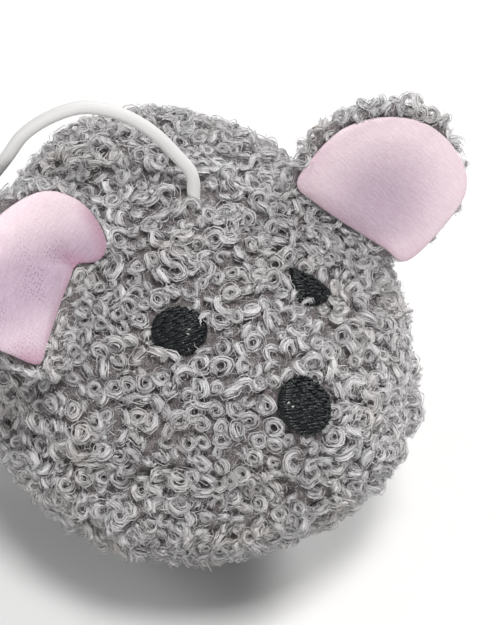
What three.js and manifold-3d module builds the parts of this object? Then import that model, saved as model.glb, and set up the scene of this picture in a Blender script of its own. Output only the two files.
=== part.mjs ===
// A cat teaser wand: a plush mouse on a round elastic cord, and the rod that the cord is tied to.
// Millimetres, +Z up. The mouse faces -Y, the rod lies beside it along Y, and both rest on Z = 0.

import * as THREE from "three";
import { mergeVertices } from "three/addons/utils/BufferGeometryUtils.js";
import Module from "manifold-3d";

const wasm = await Module();
wasm.setup();

// Driving dimensions, in millimetres and degrees

const GAP = 0.3; // left between pieces that touch

// The mouse's body: an egg that narrows and grows taller towards the rump
const MOUSE_X = 26.2;
const MOUSE_Y = 60;
const BODY_WIDTH = 72;
const BODY_LENGTH = 84.4; // without the muzzle
const BODY_HEIGHT = 71.5; // as it stands
const WIDTH_TAPER = 0.087; // share by which the rump is narrower, and the face wider, than the middle
const HEIGHT_TAPER = -0.311; // the same for height, where less than 0 makes the rump the taller end
const BODY_RISE = 0.018; // climb of the body's middle line towards the rump
const REST_DEPTH = 0.5; // how deep the belly is pressed flat by the ground
const MUZZLE_REACH = 6.9;
const MUZZLE_SPREAD = 8.5;
const PANEL_THICKNESS = 3.2; // pile cloth, backing and pile together
const SEAM_HEIGHT = 38;

// Embroidered eyes and nose, placed by angles on the body: to the side, and up from its middle
const EYE_WIDTH = 8.4;
const EYE_HEIGHT = 7.2;
const EYE_TURN = 34.6;
const EYE_LIFT = 54.5;
const NOSE_WIDTH = 8.2;
const NOSE_HEIGHT = 8.8;
const NOSE_LIFT = 39.8;
const STITCH_THICKNESS = 2.2;

// Ears: a pile back and a jersey lining, cupped towards the front and sewn on along the base
const EAR_TURN = 71;
const EAR_LIFT = 47.9;
const EAR_WIDTH = 29.4;
const EAR_LENGTH = 30.3; // of the whole oval, whose lower end is cut off by the body
const EAR_CENTRE_HEIGHT = 7.2; // middle of the oval above the sewn base
const EAR_RIM = 2; // pile that shows round the lining
const EAR_CUP = 2.5; // how far the side edges come forward
const EAR_BACK_THICKNESS = 3.2;
const EAR_LINING_THICKNESS = 1.6;
const FLOP_FORWARD = 30;
const FLOP_BACK = 20;

// How each soft ear lies: splay is its lean to its own side, twist turns the lining in towards the face,
// and tip leans the ear forward
const LEFT_SPLAY = 54;
const LEFT_TWIST = 18.5;
const LEFT_TIP = 12.6;
const RIGHT_SPLAY = 34.2;
const RIGHT_TWIST = 32.2;
const RIGHT_TIP = -10.2;

// Elastic cord and its knots
const CORD_DIAMETER = 2;
const CORD_LIFT = 86.2; // place of the cord on the crown, as an angle up from the body's middle
const CORD_STUB = 0.5; // length of the knotted end that stands out of its hole
const KNOT_DIAMETER = 6;

// The coil of spare cord, wound in and out again in two layers, and the band that ties it
const COIL_X = -38.1;
const COIL_Y = 115;
const COIL_RADIUS = 15;
const LOOPS_PER_LAYER = 2;
const CLIMB_TURNS = 0.5; // share of a loop in which it climbs to the upper layer
const LOOP_PITCH = 2.55; // from one loop to the next, sideways and upwards
const TIE_WIDTH = 4;
const TIE_THICKNESS = 0.6;

// Rod with a moulded cap on each end
const ROD_X = -62.5;
const ROD_DIAMETER = 8;
const ROD_LENGTH = 400;
const ROD_CHAMFER = 0.5;
const CAP_WALL = 1.6;
const CAP_GRIP = 12; // length of rod inside each cap
const CAP_CHAMFER = 0.8;

// The cord's way from the crown to the coil, and from the coil to the rod's tip
const ARC_ROUTE = [
  [26.2, 57.1, 69.75],
  [25.7, 57.4, 71.8],
  [23.9, 58.1, 74.6],
  [21.3, 59.1, 78.3],
  [18.6, 60.1, 81],
  [15.7, 61.3, 82.9],
  [11.9, 62.8, 84.1],
  [8.6, 64.1, 83.6],
  [5.3, 65.5, 81.9],
  [2.7, 66.5, 79.7],
  [0.7, 67.3, 76.6],
  [-1.9, 68.9, 72.4],
  [-5.9, 71.2, 66.8],
  [-12.5, 74.8, 59.4],
  [-17.9, 78.1, 49.8],
  [-21.3, 81.3, 39.2],
  [-22.9, 84.6, 28.6],
  [-23.3, 88.6, 18.6],
  [-23.3, 93.2, 10],
  [-23.2, 98.2, 4.6],
  [-23.1, 103.2, 2.4],
  [-23.1, 108.3, 1.9],
  [-23.1, 110.9, 1.9],
  [-23.1, 112.7, 1.9],
];
const LEAD_ROUTE = [
  [-23.1, 117.3, 4.45],
  [-23.1, 119.4, 4.4],
  [-23.2, 126, 3.6],
  [-23.4, 134, 2.1],
  [-23.9, 143, 1.3],
  [-24.7, 154, 1.15],
  [-25.9, 167, 1.15],
  [-27.7, 180, 1.15],
  [-30.4, 193, 1.15],
  [-34.6, 205, 1.15],
  [-40.4, 214.4, 1.15],
  [-47.2, 220, 1.2],
  [-53.4, 221.4, 1.5],
  [-58.4, 219, 2.4],
  [-61.4, 214.4, 3.9],
  [-62.4, 210, 5.4],
  [-62.5, 207.2, 5.9],
  [-62.5, 205.9, 5.9],
];

// How finely the surfaces are divided
const BODY_SIDES = 36;
const BODY_RINGS = 20;
const FILLING_SIDES = 24;
const FILLING_RINGS = 16;
const EAR_SIDES = 20;
const EAR_RINGS = 10;
const PAD_SIDES = 16;
const PAD_RINGS = 8;
const ROUND_SIDES = 24;
const CORD_SIDES = 8;
const CORD_STEP = 5;
const COIL_SIDES = 6;
const STEPS_PER_LOOP = 24;

// Sizes that follow from those above

const CORD_RADIUS = CORD_DIAMETER / 2;
const KNOT_RADIUS = KNOT_DIAMETER / 2;
const ROD_RADIUS = ROD_DIAMETER / 2;
const HALF_HEIGHT = (BODY_HEIGHT + REST_DEPTH) / 2;
const BODY_MIDDLE = HALF_HEIGHT - REST_DEPTH - BODY_RISE * taperMiddle(HEIGHT_TAPER) * (BODY_LENGTH / 2);
const CAP_BORE = ROD_RADIUS + GAP;
const CAP_RADIUS = CAP_BORE + CAP_WALL;
const KNOT_ROOM = KNOT_DIAMETER + 2 * GAP;
const TIP_CAP_LENGTH = CAP_GRIP + KNOT_ROOM + CAP_WALL;
const BUTT_CAP_LENGTH = CAP_GRIP + GAP + CAP_WALL;
const WAND_LENGTH = ROD_LENGTH - 2 * CAP_GRIP + TIP_CAP_LENGTH + BUTT_CAP_LENGTH;
const COIL_HEIGHT = TIE_THICKNESS + GAP + CORD_RADIUS; // of the lower layer's middle

const degrees = THREE.MathUtils.degToRad;

const pile = material(0x979192, 0.95);
const jersey = material(0xeed0de, 0.85);
const stitching = material(0x1b2124, 0.45);
const wadding = material(0xf2f0ea, 1);
const elastic = material(0xf3f2ef, 0.7);
const wood = material(0xd8b98a, 0.55);
const plastic = material(0xf0efec, 0.4);

function material(color, roughness) {
  return new THREE.MeshStandardMaterial({ color, roughness, metalness: 0 });
}

function mesh(name, geometry, look) {
  const made = new THREE.Mesh(geometry, look);
  made.name = name;
  return made;
}

// Solids and cuts

function solidFrom(geometry) {
  const bare = geometry.clone();
  bare.deleteAttribute("normal");
  bare.deleteAttribute("uv");
  const welded = mergeVertices(bare);
  const triVerts = new Uint32Array(welded.index.array);
  const vertProperties = welded.attributes.position.array;
  return new wasm.Manifold(new wasm.Mesh({ numProp: 3, vertProperties, triVerts }));
}

function geometryFrom(solid) {
  const { vertProperties, triVerts } = solid.getMesh();
  const geometry = new THREE.BufferGeometry();
  geometry.setAttribute("position", new THREE.BufferAttribute(vertProperties, 3));
  geometry.setIndex(new THREE.BufferAttribute(triVerts, 1));
  geometry.computeVertexNormals();
  return geometry;
}

// A unit ball whose poles lie along Y, with each of its points moved by the given function.
function shapedBall(sides, rings, place) {
  const ball = new THREE.SphereGeometry(1, sides, rings);
  const points = ball.attributes.position;
  const unit = new THREE.Vector3();
  for (let i = 0; i < points.count; i++) {
    unit.fromBufferAttribute(points, i);
    const moved = place(unit);
    points.setXYZ(i, moved.x, moved.y, moved.z);
  }
  return ball;
}

// Body

// Where along the length, from -1 to 1, an egg with this taper is thickest.
function taperMiddle(taper) {
  return taper === 0 ? 0 : (1 - Math.sqrt(1 + 8 * taper * taper)) / (4 * taper);
}

// The taper's share of the thickness at a place along the length, which is 1 where the egg is thickest.
function taperShare(taper, along) {
  const middle = taperMiddle(taper);
  const thickest = Math.sqrt(1 - middle * middle) * (1 - taper * middle);
  return (1 - taper * along) / thickest;
}

// The body's point for a direction out of its middle, at a depth inside the pile's outer surface.
function bodyPoint(unit, depth) {
  const x = (BODY_WIDTH / 2 - depth) * unit.x * taperShare(WIDTH_TAPER, unit.y);
  const y = (BODY_LENGTH / 2 - depth) * unit.y;
  const z = BODY_MIDDLE + BODY_RISE * y + (HALF_HEIGHT - depth) * unit.z * taperShare(HEIGHT_TAPER, unit.y);
  return new THREE.Vector3(x, y - muzzle(x, z, unit.y), z);
}

// How far the muzzle pushes the face forward, most of all at the nose.
function muzzle(x, z, along) {
  const rise = HALF_HEIGHT * Math.sin(degrees(NOSE_LIFT));
  const height = BODY_MIDDLE + rise * taperShare(HEIGHT_TAPER, -Math.cos(degrees(NOSE_LIFT)));
  const away = Math.hypot(x, z - height) / MUZZLE_SPREAD;
  return MUZZLE_REACH * Math.max(0, -along) * Math.exp((-away * away) / 2);
}

function bodyUnit(turn, lift) {
  const level = Math.cos(degrees(lift));
  const x = Math.sin(degrees(turn)) * level;
  const y = -Math.cos(degrees(turn)) * level;
  return new THREE.Vector3(x, y, Math.sin(degrees(lift)));
}

function bodyNormal(unit) {
  const east = new THREE.Vector3(0, 1, 0).cross(unit).normalize();
  const north = unit.clone().cross(east);
  const across = surfaceStep(unit, east);
  const upwards = surfaceStep(unit, north);
  return across.cross(upwards).normalize();
}

function surfaceStep(unit, direction) {
  const step = 0.001;
  const ahead = unit.clone().addScaledVector(direction, step).normalize();
  const behind = unit.clone().addScaledVector(direction, -step).normalize();
  return bodyPoint(ahead, 0).sub(bodyPoint(behind, 0));
}

function bodyGeometry(depth, sides = BODY_SIDES, rings = BODY_RINGS) {
  return shapedBall(sides, rings, (unit) => bodyPoint(unit, depth));
}

// A block wider than the body, between two heights.
function layer(low, high) {
  const block = new THREE.BoxGeometry(2 * BODY_WIDTH, 2 * BODY_LENGTH, high - low);
  return solidFrom(block.translate(0, 0, (low + high) / 2));
}

function ball(radius, place) {
  const round = new THREE.SphereGeometry(radius, PAD_SIDES, PAD_RINGS);
  return solidFrom(round.translate(place.x, place.y, place.z));
}

function post(radius, low, high, place) {
  const upright = new THREE.CylinderGeometry(radius, radius, high - low, PAD_SIDES);
  upright.rotateX(Math.PI / 2);
  return solidFrom(upright.translate(place.x, place.y, (low + high) / 2));
}

// Embroidered pads sit flush with the pile, each in a bed of its own shape.

function padShape(width, height, thickness) {
  const place = (unit) =>
    new THREE.Vector3((unit.x * width) / 2, (unit.y * height) / 2, (unit.z * thickness) / 2);
  return shapedBall(PAD_SIDES, PAD_RINGS, place);
}

function padMatrix(unit) {
  const out = bodyNormal(unit);
  const across = new THREE.Vector3(0, 0, 1).cross(out).normalize();
  const upwards = out.clone().cross(across);
  const centre = bodyPoint(unit, 0).addScaledVector(out, -STITCH_THICKNESS / 2);
  return new THREE.Matrix4().makeBasis(across, upwards, out).setPosition(centre);
}

function pad(name, width, height, turn, lift) {
  const matrix = padMatrix(bodyUnit(turn, lift));
  const made = mesh(name, padShape(width, height, STITCH_THICKNESS), stitching);
  made.applyMatrix4(matrix);
  const grown = padShape(width + 2 * GAP, height + 2 * GAP, STITCH_THICKNESS + 2 * GAP);
  return { mesh: made, bed: solidFrom(grown.applyMatrix4(matrix)) };
}

// The cord's inner end: a knot under the cloth, and a short stub up through the hole.
const crown = bodyPoint(bodyUnit(0, CORD_LIFT), 0);
const knotCentre = bodyPoint(bodyUnit(0, CORD_LIFT), PANEL_THICKNESS);
knotCentre.set(crown.x, crown.y, knotCentre.z - GAP - KNOT_RADIUS);

function anchorKnot() {
  const stub = post(CORD_RADIUS, knotCentre.z, crown.z + CORD_STUB, crown);
  return mesh("anchor_knot", geometryFrom(ball(KNOT_RADIUS, knotCentre).add(stub)), elastic);
}

function bodyMeshes(pads) {
  const shell = solidFrom(bodyGeometry(0)).subtract(solidFrom(bodyGeometry(PANEL_THICKNESS)));
  const throat = post(CORD_RADIUS + GAP, knotCentre.z, 2 * BODY_HEIGHT, crown);
  let upper = shell.intersect(layer(SEAM_HEIGHT + GAP / 2, 2 * BODY_HEIGHT)).subtract(throat);
  for (const { bed } of pads) {
    upper = upper.subtract(bed);
  }
  const belly = shell.intersect(layer(0, SEAM_HEIGHT - GAP / 2));
  const core = solidFrom(bodyGeometry(PANEL_THICKNESS + GAP, FILLING_SIDES, FILLING_RINGS));
  const pocket = ball(KNOT_RADIUS + GAP, knotCentre);
  return [
    mesh("upper_panel", geometryFrom(upper), pile),
    mesh("belly_panel", geometryFrom(belly), pile),
    mesh("filling", geometryFrom(core.subtract(pocket).subtract(throat)), wadding),
  ];
}

// Ears

// One cloth of the ear in the ear's own frame: X across, Y to the back, Z along it from the sewn base.
// Side is 1 for the back and -1 for the lining, and the two lie on either side of one cupped surface.
function earCloth(inset, thickness, side) {
  const place = (unit) => {
    const x = (EAR_WIDTH / 2 - inset) * unit.x;
    const z = EAR_CENTRE_HEIGHT + (EAR_LENGTH / 2 - inset) * unit.z;
    const across = x / (EAR_WIDTH / 2);
    const swell = thickness * Math.max(0, side * unit.y);
    return new THREE.Vector3(x, side * (GAP / 2 + swell) - EAR_CUP * across * across, z);
  };
  return shapedBall(EAR_SIDES, EAR_RINGS, place);
}

// Cuts the cloth clear of the body at rest and as the ear flops about its base.
function clearOfBody(cloth, ear) {
  const toEar = ear.matrix.clone().invert();
  let solid = solidFrom(cloth);
  for (const flop of [-FLOP_BACK, -FLOP_BACK / 2, 0, FLOP_FORWARD / 2, FLOP_FORWARD]) {
    const body = bodyGeometry(-GAP).applyMatrix4(toEar).rotateX(degrees(-flop));
    solid = solid.subtract(solidFrom(body));
  }
  return geometryFrom(solid);
}

function ear(name, side, splay, twist, tip) {
  const group = new THREE.Group();
  group.position.copy(bodyPoint(bodyUnit(side * EAR_TURN, EAR_LIFT), 0));
  group.rotation.set(degrees(tip), side * degrees(splay), -side * degrees(twist), "YZX");
  group.updateMatrix();
  const back = earCloth(0, EAR_BACK_THICKNESS, 1);
  const lining = earCloth(EAR_RIM, EAR_LINING_THICKNESS, -1);
  group.add(mesh(name + "_back", clearOfBody(back, group), pile));
  group.add(mesh(name + "_lining", clearOfBody(lining, group), jersey));
  return group;
}

function mouse() {
  const group = new THREE.Group();
  group.position.set(MOUSE_X, MOUSE_Y, 0);
  const pads = [
    pad("eye_left_stitching", EYE_WIDTH, EYE_HEIGHT, EYE_TURN, EYE_LIFT),
    pad("eye_right_stitching", EYE_WIDTH, EYE_HEIGHT, -EYE_TURN, EYE_LIFT),
    pad("nose_stitching", NOSE_WIDTH, NOSE_HEIGHT, 0, NOSE_LIFT),
  ];
  group.add(...bodyMeshes(pads), anchorKnot());
  group.add(...pads.map((each) => each.mesh));
  group.add(ear("ear_left", 1, LEFT_SPLAY, LEFT_TWIST, LEFT_TIP));
  group.add(ear("ear_right", -1, RIGHT_SPLAY, RIGHT_TWIST, RIGHT_TIP));
  return group;
}

// Rod, caps and the knot in the tip

function turned(profile) {
  const points = profile.map(([radius, along]) => new THREE.Vector2(radius, along));
  return new THREE.LatheGeometry(points, ROUND_SIDES);
}

function rodShape() {
  return turned([
    [0, 0],
    [ROD_RADIUS - ROD_CHAMFER, 0],
    [ROD_RADIUS, ROD_CHAMFER],
    [ROD_RADIUS, ROD_LENGTH - ROD_CHAMFER],
    [ROD_RADIUS - ROD_CHAMFER, ROD_LENGTH],
    [0, ROD_LENGTH],
  ]);
}

// A cap with its open mouth at 0 and its closed end at its length.
function capProfile(length, hole) {
  return [
    [hole, length - CAP_WALL],
    [CAP_BORE, length - CAP_WALL],
    [CAP_BORE, 0],
    [CAP_RADIUS, 0],
    [CAP_RADIUS, length - CAP_CHAMFER],
    [CAP_RADIUS - CAP_CHAMFER, length],
    [hole, length],
  ];
}

function tipCap() {
  const profile = capProfile(TIP_CAP_LENGTH, CORD_RADIUS + GAP);
  return mesh("tip_cap", turned([...profile, profile[0]]), plastic);
}

function buttCap() {
  return mesh("butt_cap", turned(capProfile(BUTT_CAP_LENGTH, 0)), plastic);
}

function tipKnot() {
  const middle = ROD_LENGTH + GAP + KNOT_RADIUS;
  const end = ROD_LENGTH + KNOT_ROOM + CAP_WALL + CORD_STUB;
  const stub = new THREE.CylinderGeometry(CORD_RADIUS, CORD_RADIUS, end - middle, PAD_SIDES);
  stub.translate(0, (middle + end) / 2, 0);
  const knot = ball(KNOT_RADIUS, new THREE.Vector3(0, middle, 0));
  return mesh("tip_knot", geometryFrom(knot.add(solidFrom(stub))), elastic);
}

function wand() {
  const group = new THREE.Group();
  group.position.set(ROD_X, -WAND_LENGTH / 2 + BUTT_CAP_LENGTH - CAP_GRIP, CAP_RADIUS);
  const tip = tipCap();
  tip.position.y = ROD_LENGTH - CAP_GRIP;
  const butt = buttCap();
  butt.position.y = CAP_GRIP;
  butt.rotation.z = Math.PI;
  group.add(mesh("rod", rodShape(), wood), tip, butt, tipKnot());
  return group;
}

// Cord

function tube(points, sides, steps) {
  const path = new THREE.CatmullRomCurve3(points);
  const section = new THREE.Shape().absarc(0, 0, CORD_RADIUS, 0, 2 * Math.PI);
  return new THREE.ExtrudeGeometry(section, { extrudePath: path, steps, curveSegments: sides / 2 });
}

function freeCord(name, route) {
  const points = route.map((point) => new THREE.Vector3(...point));
  const steps = Math.round(new THREE.CatmullRomCurve3(points).getLength() / CORD_STEP);
  return mesh(name, tube(points, CORD_SIDES, steps), elastic);
}

// The coil's middle line: turns counts from the outer end, inwards below and outwards again above.
function coilPoint(turns) {
  const fromInner = Math.abs(turns - LOOPS_PER_LAYER);
  const climbStart = LOOPS_PER_LAYER - CLIMB_TURNS / 2;
  const climb = THREE.MathUtils.smoothstep(turns, climbStart, climbStart + CLIMB_TURNS);
  const radius = COIL_RADIUS - LOOP_PITCH * (LOOPS_PER_LAYER - fromInner);
  const angle = 2 * Math.PI * turns;
  const x = COIL_X + radius * Math.cos(angle);
  const y = COIL_Y + radius * Math.sin(angle);
  return new THREE.Vector3(x, y, COIL_HEIGHT + LOOP_PITCH * climb);
}

// The coil with a straight run of one cord diameter at each end.
function coilPoints() {
  const count = 2 * LOOPS_PER_LAYER * STEPS_PER_LOOP;
  const loops = Array.from({ length: count + 1 }, (_, i) => coilPoint(i / STEPS_PER_LOOP));
  const before = loops[0].clone().setY(COIL_Y - CORD_DIAMETER);
  const after = loops[count].clone().setY(COIL_Y + CORD_DIAMETER);
  return [before, ...loops, after];
}

// The least gap between stretches of one cord that lie more than a half turn apart along it.
function leastGap(points) {
  const apart = STEPS_PER_LOOP / 2;
  let least = Infinity;
  points.forEach((point, i) => {
    for (const other of points.slice(i + apart)) {
      least = Math.min(least, point.distanceTo(other));
    }
  });
  return least - CORD_DIAMETER;
}

function cordCoil() {
  const points = coilPoints();
  console.log("least gap in the coil, mm: " + leastGap(points).toFixed(2));
  return mesh("cord_coil", tube(points, COIL_SIDES, points.length - 1), elastic);
}

// A flat band round all the loops, on the side of the coil away from its ends.
function coilTie() {
  const room = LOOP_PITCH * (LOOPS_PER_LAYER - 1) + CORD_DIAMETER + 2 * GAP;
  const tall = LOOP_PITCH + CORD_DIAMETER + 2 * GAP;
  const band = rectangle(new THREE.Shape(), room + 2 * TIE_THICKNESS, tall + 2 * TIE_THICKNESS);
  band.holes.push(rectangle(new THREE.Path(), room, tall));
  const geometry = new THREE.ExtrudeGeometry(band, { depth: TIE_WIDTH, bevelEnabled: false });
  geometry.translate(0, 0, -TIE_WIDTH / 2).rotateX(Math.PI / 2);
  const made = mesh("coil_tie", geometry, plastic);
  const outer = COIL_RADIUS - LOOP_PITCH / 2;
  const inner = outer - LOOP_PITCH * (LOOPS_PER_LAYER - 1);
  made.position.set(COIL_X - (outer + inner) / 2, COIL_Y, COIL_HEIGHT + LOOP_PITCH / 2);
  return made;
}

function rectangle(path, width, height) {
  path.moveTo(-width / 2, -height / 2);
  path.lineTo(width / 2, -height / 2);
  path.lineTo(width / 2, height / 2);
  path.lineTo(-width / 2, height / 2);
  path.closePath();
  return path;
}

const group = new THREE.Group();
group.add(mouse(), wand());
group.add(freeCord("cord_arc", ARC_ROUTE), cordCoil(), freeCord("cord_lead", LEAD_ROUTE), coilTie());

export default group;
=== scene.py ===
"""A plush mouse lure on a round elastic cord, with the rod that the cord is tied to.

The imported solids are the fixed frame. Each soft one is replaced by a detailed piece in the same place:
curly pile cloth on a stuffed body, lined ears, satin stitched eyes and nose, and a braided elastic cord.
"""

import math
import random

import bmesh
import bpy
from mathutils import Matrix, Vector, noise


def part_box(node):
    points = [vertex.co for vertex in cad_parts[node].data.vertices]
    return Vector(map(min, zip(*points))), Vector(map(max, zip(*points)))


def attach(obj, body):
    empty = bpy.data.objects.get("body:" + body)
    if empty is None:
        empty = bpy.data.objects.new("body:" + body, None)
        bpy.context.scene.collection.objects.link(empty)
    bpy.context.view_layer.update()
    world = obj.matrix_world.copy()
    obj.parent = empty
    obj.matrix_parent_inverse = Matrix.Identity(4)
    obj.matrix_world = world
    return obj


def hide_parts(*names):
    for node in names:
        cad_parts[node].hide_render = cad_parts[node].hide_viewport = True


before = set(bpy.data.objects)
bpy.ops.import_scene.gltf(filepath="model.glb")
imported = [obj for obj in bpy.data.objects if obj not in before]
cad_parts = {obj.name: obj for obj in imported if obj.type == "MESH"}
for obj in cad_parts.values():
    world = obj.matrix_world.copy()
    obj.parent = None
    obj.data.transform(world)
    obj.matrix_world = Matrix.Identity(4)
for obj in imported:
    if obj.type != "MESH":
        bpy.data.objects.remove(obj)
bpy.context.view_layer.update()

MM = 0.001

# The mouse's body, as in the solids: an egg that narrows and grows taller towards the rump
MOUSE_PLACE = Vector((26.2, 60, 0)) * MM
BODY_WIDTH = 72 * MM
BODY_LENGTH = 84.4 * MM
BODY_HEIGHT = 71.5 * MM
WIDTH_TAPER = 0.087
HEIGHT_TAPER = -0.311
BODY_RISE = 0.018
REST_DEPTH = 0.5 * MM
MUZZLE_REACH = 6.9 * MM
MUZZLE_SPREAD = 8.5 * MM
SEAM_HEIGHT = 38 * MM

# Embroidered eyes and nose, filled with short stitches in slanting rows
STITCH_PITCH = 0.38 * MM
STITCH_RADIUS = 0.22 * MM
STITCH_ARCH = 0.16 * MM
STITCH_LENGTHS = (1.4 * MM, 3.2 * MM)
STITCH_SHIFT = 0.12 * MM
STITCH_LEAN = 0.25 * MM
STITCH_STEPS = 6
STITCH_SIDES = 7
STITCH_SLANTS = {"eye_left": -52, "eye_right": 22, "nose": -18}
BED_DEPTH = 1.2 * MM
BED_SIDES = 40
BED_RINGS = 20
# The oval of each pad that is kept clear of pile: its shift in millimetres, its shares of the pad's
# width and height, and its tilt in degrees
PAD_CLEAR = {
    "eye_left": (-1.5, 0, 1.0, 0.6, -74),
    "eye_right": (0.1, 0, 1.08, 1.06, 0),
    "nose": (-0.2, 0, 1.06, 1.02, 0),
}
CLEAR_DEPTH = 4 * MM
PAD_SHIFT = Vector((-0.4, 1, 0)) * MM  # of the left eye, which sits a little higher than the right one
PAD_SINK = 0.7 * MM
PAD_SLIT = {"eye_left": 0.9 * MM}  # half the width at which pile closes over the eye's sides
SLIT_SLOPE = 0.85
PAD_DOME = 0.9 * MM
EYE_WIDTH = 8.4 * MM
EYE_HEIGHT = 7.2 * MM
EYE_TURN = 34.6
EYE_LIFT = 54.5
NOSE_WIDTH = 8.2 * MM
NOSE_HEIGHT = 8.8 * MM
NOSE_LIFT = 39.8

# Ears, with lean angles in the order splay, twist and tip
EAR_TURN = 71
EAR_LIFT = 47.9
EAR_WIDTH = 29.4 * MM
EAR_LENGTH = 30.3 * MM
EAR_CENTRE_HEIGHT = 7.2 * MM
EAR_CUP = 2.5 * MM
EAR_LEAN = {"left": (54, 18.5, 12.6), "right": (34.2, 32.2, -10.2)}
EAR_SIDES = 72
EAR_RINGS = 12
EAR_ROOT = 1.2 * MM
ROOT_HALVINGS = 12
OUTLINE_STEPS = 12
BACK_INSET = 1.4 * MM
BACK_SHIFT = {"left": -1.6 * MM, "right": 0.0}
BACK_MIDDLE = 0.9 * MM
BACK_SWELL = 1.6 * MM
BACK_FRONT = 0.2 * MM

# Ear linings: outlines in millimetres across the ear and along it, and how they swell and dip
LINING_OUTLINES = {
    "left": [
        (-10.9, -1.2), (-13.1, 5), (-13.1, 10.5), (-9.6, 15.9), (-3.5, 19.6), (3.8, 19.9), (9, 17.2),
        (11.2, 11), (11.9, 2.6), (8, 1.3), (0, -0.7), (-6, -1.5),
    ],
    "right": [
        (-11.7, 3.2), (-13, 8), (-13.4, 12.5), (-9.8, 18), (-3, 20.4), (3.9, 19), (10.2, 15.2),
        (12.5, 10.2), (12.3, 5), (10, 0.4), (7.2, 0.5), (5.2, 3.3), (3, 3.3), (-3, 2.9), (-8, 2.8),
    ],
}
LINING_MIDDLES = {"left": (-1, 9), "right": (0.5, 10.5)}
LINING_MARGIN = 1.02
LINING_SWELL = 1.3 * MM
LINING_DISH = 1.1 * MM
LINING_BACK = 0.1 * MM
LINING_EDGE = 0.4 * MM
LINING_FRONT = 0.01 * MM

# Painted shade on the linings: the middle and spread of the left ear's hollow, and the right ear's
# slanting band; then how much redder painted shade lies along the rolled edge, and how open the knit is
HOLLOW_MIDDLE = Vector((1, 5.8)) * MM
HOLLOW_SPREAD = Vector((7, 7.6)) * MM
HOLLOW_SHADE = 0.93
HOLLOW_FALL = 1.4
RIGHT_BAND_TOP = (21.5 * MM, 10 * MM)
RIGHT_BAND_END = (5 * MM, -3 * MM)
RIGHT_BAND_LOSS = 0.5
FOLD_EDGE = (0.75, 1.0)
LEFT_FOLD_SHADE = 0.35
LEFT_OPEN = 0.1
RIGHT_OPEN = 0.2
RIGHT_OPEN_MORE = 0.7

# The tuck in the right ear's lining, from the notch in its lower edge
TUCK_START = Vector((5.2, 3.3)) * MM
TUCK_END = Vector((4.8, 9)) * MM
TUCK_DEPTH = 1.2 * MM
TUCK_WIDTH = 0.9 * MM

# Stuffing: cloth is simulated at a larger scale, and moves no further than it gives
STUFFING_SCALE = 10
STUFFING_FRAMES = 16
BODY_PRESSURE = 3
BODY_GIVE = 0.8 * MM
LINING_PRESSURE = 2
LINING_GIVE = 0.4 * MM

# Pile cloth
PILE_DEPTH = 2.7 * MM
GROUND_THICKNESS = 0.8 * MM
SEAM_PULL = 2.3 * MM
SEAM_SPREAD = 2.2 * MM
WADDING_DEPTH = 6.2 * MM
WADDING_TUFT = 0.9 * MM
WADDING_FINENESS = 9
PILE_RAISE = 1.3 * MM
EAR_PILE_RAISE = 0.7 * MM
EAR_FRONT_SINK = 0.55 * MM
CLUMP_SIZE = 3.6 * MM
CLUMP_HEIGHT = 0.9 * MM
PILE_SECTORS = 6
SKIN_CUTS = 24
UNDERSIDE = 5 * MM
UNDERSIDE_PILE = 0.55
ENTRY_DEPTH = 9 * MM
FLOOR_GAP = 0.1 * MM
SECTOR_SEEDS = 100
EAR_SEED = 2000
PILE_SETTINGS = {
    "Curl Radius": 1.0 * MM,
    "Yarn Radius": 0.5 * MM,
    "Strand Radius": 0.09 * MM,
    "Spacing": 1.85 * MM,
    "Curl Fibres": 1.2e5,
    "Ground Fibres": 1.1e6,
    "Fibre Radius": 0.06 * MM,
}
EAR_PILE_SETTINGS = {"Curl Radius": 0.85 * MM, "Yarn Radius": 0.42 * MM, "Spacing": 1.65 * MM}

# Curls and loose fibres: turns, radius at each end and rise, the last three in curl radii
CURL_SHAPES = [
    (1.2, 0.75, 1.05, 0.5), (1.35, 0.5, 1.15, 0.6), (1.0, 0.95, 0.85, 0.8), (0.75, 1.25, 0.9, 0.7),
]
FIBRE_SHAPES = [(0.45, 0.8, 0.5, 0.9), (0.35, 1.1, 0.7, 0.8), (0.55, 0.5, 0.7, 1.2)]
CURL_STEPS = 13
FIBRE_STEPS = 3
CURL_TILT = 0.95
FIBRE_TILT = 1.4
CURL_SIZES = (0.65, 1.3)
FIBRE_SIZES = (0.5, 1.15)
CURL_TRIES = 4  # points tried on each square of the spacing
YARN_SIDES = 3
CLOSED_WITHIN = 0.004 * MM

# How fast threads come to a point at their ends
CORE_POINT = 9
STRAND_POINT = 5
FIBRE_POINT = 4
STITCH_POINT = 6

# Strands about a curl's core, the last of them loose, with their spread in yarn radii
CORE_SIZE = 0.75
CLOSE_STRANDS = 4
LOOSE_STRANDS = 2
STRAND_TWIST = 0.5
STRAND_ANGLE = 0.382 * math.tau
STRAND_SPREAD = 0.72
STRAND_WIDER = 0.09
LOOSE_WIDER = 0.14
STRAND_LONGER = 0.05
STRAND_LENGTHS = 5

# How pale each kind of fibre is; the core is kept a little darker than most strands, as painted shade
# inside the curl
CORE_LIFT = 0.65
STRAND_LIFT = 0.6
STRAND_LIFT_MORE = 0.3
STRAND_LIFT_STEP = 0.37
CURL_FIBRE_LIFT = 1.0
GROUND_FIBRE_LIFT = 0.9

# How far finished curls are bent, in curl radii, and ruffled, in yarn radii, and how finely
CURL_BEND = 1.2
CURL_BEND_SCALE = 550.0
YARN_RUFFLE = 0.7
YARN_RUFFLE_SCALE = 2200.0

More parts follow.
